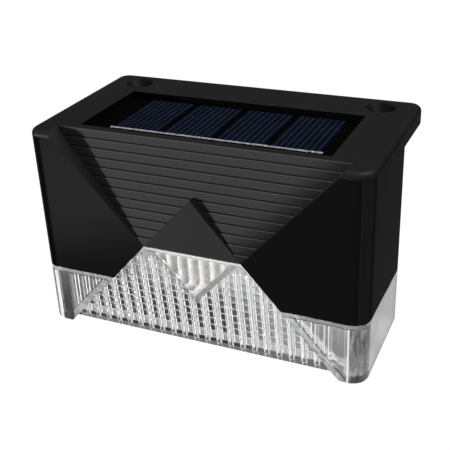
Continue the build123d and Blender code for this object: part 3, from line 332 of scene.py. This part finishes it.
def black_plastic(name):
    """Black moulding: fine grain all over and polished facets, one black painted with light: the facets darker in
    painted shade, the triangle and slats paler in painted sheen, painted shade at the slats' right ends, a painted
    shade line and a painted highlight line at each ledge, and painted shade in the window and screw holes.
    """
    finish = Finish(name, Specular_IOR_Level=0.0, Specular_Tint=grey(0.3))
    math, both, over, under = finish.math, finish.both, finish.over, finish.under
    normal = finish.parts(finish.place("Normal"))
    at = finish.parts(finish.place())
    out = math("ABSOLUTE", at[0])
    above_waist = math("SUBTRACT", at[2], WAIST_Z)

    front = under(normal[1], FRONT_NORMAL)
    leaning = both(front, over(normal[2], LEANING_NORMAL))
    slatted = both(front, over(normal[2], SLAT_NORMAL))
    step = math("FRACT", math("DIVIDE", above_waist, SLAT_PITCH))
    groove_shade = both(slatted, under(step, GROOVE_SHADE_TOP))
    # edge: a painted highlight line just below each ledge
    edge = both(slatted, over(step, EDGE_HIGHLIGHT_LOW))
    window = over(math("ABSOLUTE", normal[0]), 0.9)
    hole = both(over(out, HOLE_X), under(math("ABSOLUTE", at[1]), HOLE_Y),
                under(math("ABSOLUTE", normal[2]), 0.95))
    # painted shade in the window and the countersinks
    recess_shade = both(over(at[2], 0.0), under(out, INNER_X), finish.either(window, hole))

    # the slats' colour: painted sheen that fades to painted shade at their right ends
    right_end = math("ADD", math("MULTIPLY", above_waist, SLAT_SLOPE), WAIST_HALF_W)
    slat = finish.ramp(math("SUBTRACT", right_end, at[0]), SLAT_SHADE, SLAT_SHEEN, *SLAT_SHADE_FADE)
    broad = finish.noise(14 * MM, 2.0)
    colour = finish.vary(broad, BLACK_DARK, BLACK_LIGHT)
    # Painted light on one black: shade on the facets, sheen on the triangle and slats, shade at the slats' right
    # ends and in the grooves, highlights at the ledges, shade in the window and screw holes
    for mask, paint in (
        (front, FACET_SHADE_COLOUR),
        (leaning, LEANING_SHEEN_COLOUR),
        (slatted, slat),
        (groove_shade, GROOVE_SHADE_COLOUR),
        (edge, finish.blend(EDGE_HIGHLIGHT_SHARE, slat, EDGE_HIGHLIGHT_COLOUR)),
        (recess_shade, finish.ramp(normal[2], RECESS_SHADE_DARK, RECESS_SHADE_LIGHT, 0.2, 0.5)),
    ):
        colour = finish.blend(mask, colour, paint)
    finish.set(finish.shader, Base_Color=colour,
               Roughness=finish.blend(front, finish.vary(broad, 0.32, 0.40), finish.ramp(leaning, 0.15, 0.5)),
               Metallic=finish.blend(front, grey(0.3), finish.ramp(leaning, 0.6, 0.05)))
    finish.bump(finish.noise(0.35 * MM), 0.004 * MM)
    return finish.material


def reflector(name):
    """Grey tray with painted light: paler towards its roof and its right end, darker in painted shade at its low
    left end.
    """
    finish = Finish(name, Specular_IOR_Level=0.1)
    at = finish.parts(finish.place("Generated"))
    along = finish.math("ADD", finish.math("MULTIPLY", at[0], TRAY_RIGHT), finish.math("MULTIPLY", at[2], TRAY_UP))
    finish.set(finish.shader, Base_Color=finish.ramp(along, TRAY_SHADED, TRAY_LIT, *TRAY_SHADE_FADE),
               Roughness=finish.vary(finish.noise(16 * MM, 2.0), 0.41, 0.49))
    finish.bump(finish.noise(0.4 * MM), 0.005 * MM)
    return finish.material


def let_light_in(finish, tint, diffuse=False):
    """Shadow rays, and diffuse ones if asked, pass a clear piece straight, so that light gets in."""
    straight = finish.add("LightPath", "Is Shadow Ray")
    if diffuse:
        straight = finish.either(straight, straight.node.outputs["Is Diffuse Ray"])
    mix = finish.add("MixShader").node
    for socket, value in zip(mix.inputs, (straight, finish.shader.outputs[0],
                                          finish.add("BsdfTransparent", Color=tint))):
        finish.feed(socket, value)
    finish.set(finish.output, Surface=mix.outputs[0])


def resin(name):
    """Clear potting resin, slightly wavy. The cells' colours are as seen through it, so it bends no light."""
    finish = Finish(name, Base_Color=RESIN_TINT, Transmission_Weight=1.0, IOR=1.0)
    broad = finish.noise(9 * MM, 2.0)
    finish.set(finish.shader, Roughness=finish.vary(broad, 0.02, 0.04))
    finish.bump(broad, 0.01 * MM)
    let_light_in(finish, RESIN_TINT, diffuse=True)
    return finish.material


def lens_plastic(name):
    """Clear plastic with silvery rib edges, a hazy ramp, a milky fluted field, and greyer feet and sides; its
    greys are painted reflections, with painted highlight lines, painted light and shade on the flutes, and painted
    shade on the left foot and corner.
    """
    finish = Finish(name, IOR=LENS_IOR, Specular_Tint=grey(0.4))
    math, both, either, over, under = finish.math, finish.both, finish.either, finish.over, finish.under
    normal = finish.parts(finish.place("Normal"))
    at = finish.parts(finish.place())
    out = math("ABSOLUTE", at[0])
    drop = math("SUBTRACT", WAIST_Z, at[2])

    def less(value, slope):
        """A distance from the middle, less what a slope adds to it from the waist down."""
        return math("SUBTRACT", value, math("MULTIPLY", drop, slope))

    # Ramp, ribs, half diamond, sill and bottom
    faces_front = under(normal[1], -0.3)
    mouth = math("SUBTRACT", less(out, MOUTH_SLOPE), WAIST_HALF_W)
    ramp = both(faces_front, under(mouth, 0.0))
    offset = math("SUBTRACT", math("FRACT", math("DIVIDE", at[0], RIB_PITCH)), 0.5)
    off_rib = math("ABSOLUTE", offset)
    rib = both(ramp, over(drop, RIB_START), under(off_rib, RIB_HALF_W / RIB_PITCH))
    rib_edge_highlight = both(rib, either(under(offset, RIB_LEFT), over(offset, RIB_RIGHT)))
    along_mouth = both(over(mouth, -MOUTH_LIP_W), under(drop, JOINT_DROP))
    ramp_lip = both(ramp, either(under(drop, TOP_LIP_H), along_mouth))
    in_diamond = less(out, -FIELD_SLOPE)
    diamond = both(faces_front, under(in_diamond, WAIST_HALF_W), over(drop, FIELD_DROP))
    field = both(diamond, under(in_diamond, FIELD_REACH))
    sill = both(under(normal[1], -0.5), over(drop, SILL_DROP), under(mouth, 0.0))
    bottom = both(over(math("ABSOLUTE", normal[2]), 0.8), over(drop, BOTTOM_DROP))

    # Feet, corners and sides, with the lip under the joint
    wall = both(under(normal[1], -0.95), under(at[1], FOOT_Y), over(drop, JOINT_DROP))
    left = under(at[0], 0.0)
    band = both(wall, under(mouth, BAND_W))
    band_line = both(wall, over(mouth, BAND_W), under(mouth, BAND_W + BAND_LINE_W))
    off_line = math("ABSOLUTE", math("SUBTRACT", off_rib, FOOT_LINE))
    foot_highlight_line = both(wall, over(mouth, BAND_W + BAND_LINE_W), under(out, FOOT_LINES_X),
                     under(off_line, FOOT_LINE_HALF_W))
    post_highlight_line = both(wall, over(at[0], POST_LINE_X))
    forward = under(normal[1], -0.1)
    column = both(forward, over(out, COLUMN_X))
    left_column = both(forward, under(at[0], -LEFT_COLUMN_X))
    left_highlight_line = both(left_column, over(out, LEFT_LINE_X), under(out, LEFT_LINE_X + LEFT_LINE_W))
    side = both(over(out, SIDE_X), over(math("ABSOLUTE", normal[0]), 0.9))
    side_line = both(side, either(over(at[1], SIDE_END_Y), over(drop, SIDE_END_DROP)))
    outside = either(wall, column, side)
    lip = both(outside, under(drop, JOINT_DROP + LIP_H))
    lip_line = both(outside, over(drop, JOINT_DROP + LIP_H), under(drop, JOINT_DROP + LIP_H + LIP_LINE_H))

    mottle = finish.ramp(finish.noise(3 * MM, 4.0), 0.6, 1.0, 0.35, 0.65)
    haze_top = finish.ramp(drop, HAZE_TOP, 0.0, 0.0, HAZE_TOP_H)
    haze_right = finish.ramp(at[0], 0.0, HAZE_RIGHT, HAZE_FROM, HAZE_TO)
    streaks = finish.noise(2.5 * MM, 3.0, finish.add("Mapping", Vector=finish.place(), Scale=(1, 1, 0.3)))
    patches = finish.noise(8 * MM, 1.0)
    flute_shading = finish.ramp(math("ADD", normal[0], 0.5), FIELD_LIT, FIELD_SHADED, 0.35, 0.65)

    # Each zone lies over the ones before it: mask, milkiness, colour. The zones' greys are painted reflections
    # that stand for the lens's inner reflections, alongside its moulding haze; the pale lines are painted
    # highlights.
    frost, colour = 0.0, LENS_TINT
    for mask, milk, paint in (
        (ramp, math("MULTIPLY", mottle, either(haze_top, haze_right)), LENS_TINT),
        (rib, 0.25, LENS_TINT),
        (rib_edge_highlight, 0.95, HIGHLIGHT_PALE),
        (ramp_lip, 0.6, HIGHLIGHT_PALE),
        (diamond, 0.3, FRAME_COLOUR),
        (field, math("MULTIPLY", mottle, FIELD_MILK), flute_shading),
        (sill, 0.35, SILL_COLOUR),
        (bottom, 0.0, BOTTOM_COLOUR),
        (wall, 0.28, finish.blend(left, PANEL_COLOUR, LEFT_PANEL_SHADE)),
        (foot_highlight_line, 0.8, HIGHLIGHT_PALE),
        (band, 0.4, BAND_COLOUR),
        (band_line, 0.3, SHADE_COLOUR),
        (post_highlight_line, 0.8, HIGHLIGHT_PALE),
        (column, 0.4, finish.ramp(streaks, COLUMN_DARK, COLUMN_LIGHT, 0.42, 0.62)),
        (left_column, 0.4, finish.ramp(streaks, LEFT_SHADE_DARK, LEFT_SHADE_LIGHT, 0.38, 0.62)),
        (left_highlight_line, 0.7, HIGHLIGHT_PALE),
        (side, 0.3, finish.ramp(patches, SIDE_DARK, SIDE_LIGHT, 0.3, 0.6)),
        (side_line, 0.4, SHADE_COLOUR),
        (lip, 0.5, LIP_COLOUR),
        (lip_line, 0.4, SHADE_COLOUR),
    ):
        kept = math("MULTIPLY", frost, math("SUBTRACT", 1.0, mask))
        frost = math("ADD", kept, math("MULTIPLY", mask, milk))
        colour = finish.blend(mask, colour, paint)

    ramp_silver = both(rib_edge_highlight, math("SUBTRACT", 1.0, diamond))
    foot_silver = both(either(foot_highlight_line, post_highlight_line), over(at[0], -LEFT_COLUMN_X), under(at[0], COLUMN_X))
    silver = either(math("MULTIPLY", ramp_silver, RIB_SILVER), math("MULTIPLY", foot_silver, FOOT_SILVER))
    broad = finish.noise(6 * MM, 2.0)
    finish.set(finish.shader, Base_Color=colour, Metallic=silver,
               Transmission_Weight=math("SUBTRACT", 1.0, frost),
               Roughness=finish.blend(frost, finish.vary(broad, 0.015, 0.03), grey(0.5)))
    finish.bump(broad, 0.02 * MM)
    let_light_in(finish, LENS_TINT)
    return finish.material


def silicon(name):
    """Blue-black cell with crystal grains and printed fingers that run front to back."""
    finish = Finish(name, Roughness=0.3, Specular_IOR_Level=0.0)
    grains = finish.add("TexVoronoi", "Color", Vector=finish.place(), Scale=1 / CRYSTAL_SIZE)
    crystal = finish.ramp(finish.add("SeparateColor", 0, Color=grains), CRYSTAL_DARK, CRYSTAL_LIGHT)
    across = finish.parts(finish.place("Generated"))[0]
    phase = finish.math("FRACT", finish.math("MULTIPLY", across, FINGERS))
    off_finger = finish.math("ABSOLUTE", finish.math("SUBTRACT", phase, 0.5))
    colour = finish.blend(finish.under(off_finger, FINGER_HALF_W), crystal, FINGER_COLOUR)
    finish.set(finish.shader, Base_Color=colour)
    return finish.material


def make_finishes():
    """Every finish, by the name of the slot that takes it."""
    finishes = {name: moulded(name, *values) for name, values in MOULDED.items()}
    finishes.update({name: metal(name, *values) for name, values in METALS.items()})
    finishes["panel_laminate"] = moulded("panel_laminate", *LAMINATE, Specular_IOR_Level=0.0)
    for name, make in (
        ("black_abs", black_plastic),
        ("clear_lens", lens_plastic),
        ("clear_resin", resin),
        ("silicon_cell", silicon),
        ("grey_reflector", reflector),
    ):
        finishes[name] = make(name)
    return finishes


def dress(finishes):
    """Gives every node the finish of its slot in the record."""
    for part in frame["record"]["subparts"]:
        mesh = nodes[part["node"]].data
        mesh.materials.clear()
        mesh.materials.append(finishes[part["material_slot"]])


def stand(name, data):
    """A new object in the scene that holds a camera, a lamp or a mesh."""
    thing = bpy.data.objects.new(name, data)
    bpy.context.scene.collection.objects.link(thing)
    return thing


def add_camera():
    """The camera of the photograph."""
    data = bpy.data.cameras.new("camera")
    data.lens = CAMERA_LENS
    data.clip_start = CAMERA_NEAR
    camera = stand("camera", data)
    turn = Matrix.Rotation(CAMERA_YAW, 4, "Z") @ Matrix.Rotation(pi / 2 + CAMERA_PITCH, 4, "X")
    camera.matrix_world = Matrix.Translation(CAMERA_AT) @ turn @ Matrix.Rotation(CAMERA_ROLL, 4, "Z")
    bpy.context.scene.camera = camera


def add_lamp(name, towards, distance, size, power, centre):
    """A flat lamp that faces the middle of the light from a direction."""
    data = bpy.data.lights.new(name, "AREA")
    data.shape = "RECTANGLE"
    data.size, data.size_y = size
    data.energy = power
    lamp = stand(name, data)
    towards = towards.normalized()
    lamp.location = centre + towards * distance
    lamp.rotation_euler = towards.to_track_quat("Z", "Y").to_euler()


def add_sky():
    """Broad soft light from above."""
    data = bpy.data.lights.new("sky", "SUN")
    data.energy = SKY_STRENGTH
    data.angle = SKY_ANGLE
    stand("sky", data).rotation_euler = SKY_TOWARDS.to_track_quat("Z", "Y").to_euler()


def seen_rays(tree):
    """1 for what the camera sees straight, mirrored or through something clear."""
    path = tree.nodes.new("ShaderNodeLightPath")
    seen = path.outputs["Is Camera Ray"]
    for name in ("Is Glossy Ray", "Is Transmission Ray"):
        either = tree.nodes.new("ShaderNodeMath")
        either.operation = "MAXIMUM"
        tree.links.new(seen, either.inputs[0])
        tree.links.new(path.outputs[name], either.inputs[1])
        seen = either.outputs[0]
    return seen


def add_world():
    """A dim room that looks white."""
    world = bpy.data.worlds.new("studio")
    world.use_nodes = True
    bpy.context.scene.world = world
    tree = world.node_tree
    lit = tree.nodes["Background"]
    lit.inputs["Color"].default_value = AMBIENT
    white = tree.nodes.new("ShaderNodeBackground")
    white.inputs["Color"].default_value = WHITE
    mix = tree.nodes.new("ShaderNodeMixShader")
    for output, socket in zip((seen_rays(tree), lit.outputs[0], white.outputs[0]), mix.inputs):
        tree.links.new(output, socket)
    tree.links.new(mix.outputs[0], tree.nodes["World Output"].inputs["Surface"])


def add_floor(height):
    """A pale floor that takes the shadow and looks white where it is lit."""
    half = FLOOR_SIZE / 2
    corners = [(-half, -half, height), (half, -half, height), (half, half, height), (-half, half, height)]
    mesh = bpy.data.meshes.new("floor")
    mesh.from_pydata(corners, [], [(0, 1, 2, 3)])
    stand("floor", mesh)
    finish = Finish("floor", Base_Color=FLOOR_COLOUR, Roughness=0.9, Specular_IOR_Level=0.0)
    strength = finish.math("MULTIPLY", seen_rays(finish.tree), FLOOR_GLOW)
    finish.set(finish.shader, Emission_Color=WHITE, Emission_Strength=strength)
    mesh.materials.append(finish.material)


bpy.context.scene.view_settings.view_transform = "Standard"
dress(make_finishes())
low, high = cad_box
centre = (low + high) / 2
add_camera()
add_world()
add_lamp("key", KEY_TOWARDS, KEY_DISTANCE, KEY_SIZE, KEY_POWER, centre)
add_sky()
add_lamp("box", BOX_TOWARDS, BOX_DISTANCE, BOX_SIZE, BOX_POWER, centre)
add_lamp("back", BACK_TOWARDS, BACK_DISTANCE, BACK_SIZE, BACK_POWER, centre)
add_floor(low.z - FLOOR_DROP)
